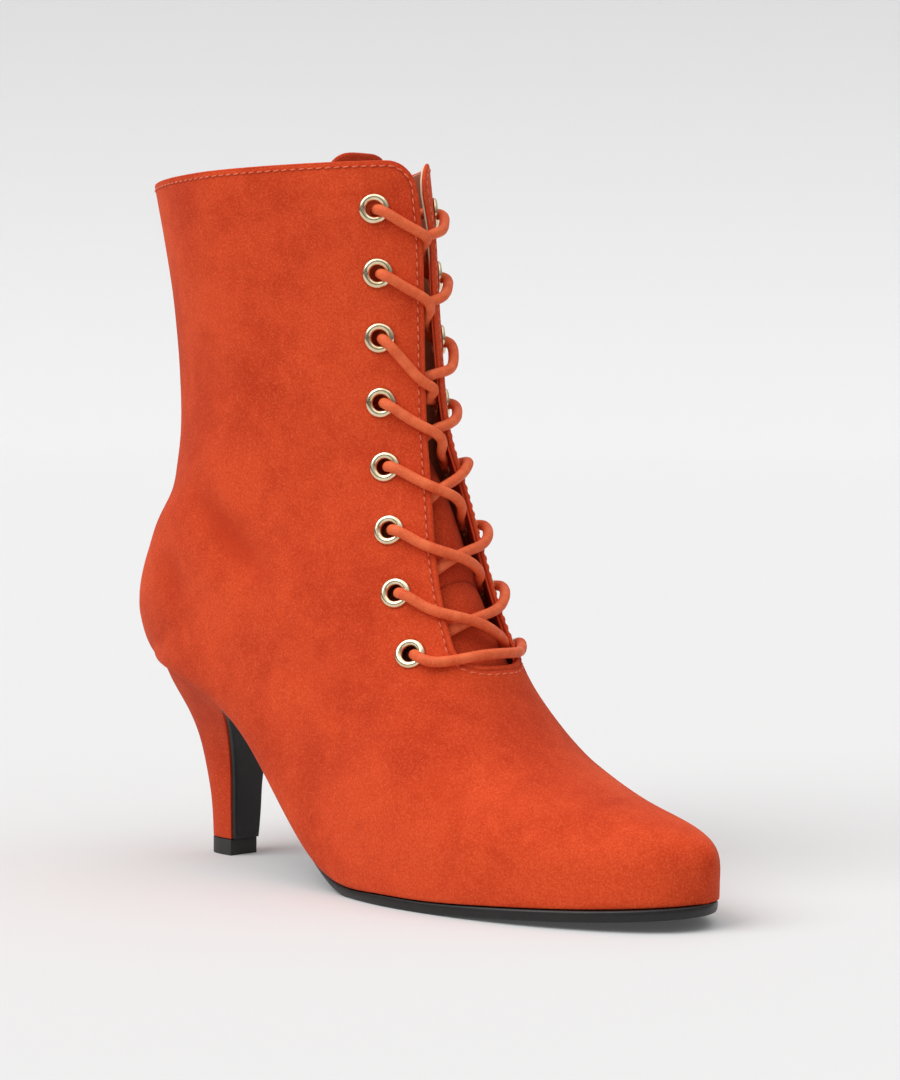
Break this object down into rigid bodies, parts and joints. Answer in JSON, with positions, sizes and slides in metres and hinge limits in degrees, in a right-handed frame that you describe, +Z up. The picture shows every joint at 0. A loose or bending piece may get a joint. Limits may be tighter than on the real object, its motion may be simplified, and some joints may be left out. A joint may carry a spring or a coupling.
{
  "type": "lace up ankle boot",
  "caption": "Suede lace up ankle boot with an almond toe, eyelet facings, a tongue and a curved covered heel.",
  "frame": {"origin": "middle of the footprint's bounding box, on the floor under the top piece and forefoot", "axes": "+X to the toe, +Y to the inner side of the foot, +Z up"},
  "size_m": [0.2484, 0.0786, 0.2343],
  "materials": {
    "suede": "short napped suede, matte",
    "tongue_suede": "short napped suede, matte",
    "heel_suede": "suede stretched over the heel block, matte",
    "lining": "smooth lining, satin",
    "sole": "satin black",
    "top_piece": "matte black",
    "eyelet": "polished pale gold",
    "lace": "round waxed cord"
  },
  "bodies": {
    "root": {"upper": "suede", "tongue": "tongue_suede", "heel": "heel_suede", "insole": "lining", "outsole": "sole", "top_piece": "top_piece", "eyelet_outer_1": "eyelet", "eyelet_inner_1": "eyelet", "eyelet_outer_2": "eyelet", "eyelet_inner_2": "eyelet", "eyelet_outer_3": "eyelet", "eyelet_inner_3": "eyelet", "eyelet_outer_4": "eyelet", "eyelet_inner_4": "eyelet", "eyelet_outer_5": "eyelet", "eyelet_inner_5": "eyelet", "eyelet_outer_6": "eyelet", "eyelet_inner_6": "eyelet", "eyelet_outer_7": "eyelet", "eyelet_inner_7": "eyelet", "eyelet_outer_8": "eyelet", "eyelet_inner_8": "eyelet", "lace_cross_1": "lace", "lace_cross_2": "lace", "lace_cross_3": "lace", "lace_cross_4": "lace", "lace_cross_5": "lace", "lace_cross_6": "lace", "lace_cross_7": "lace", "lace_bar_8": "lace"}
  },
  "joints": []
}
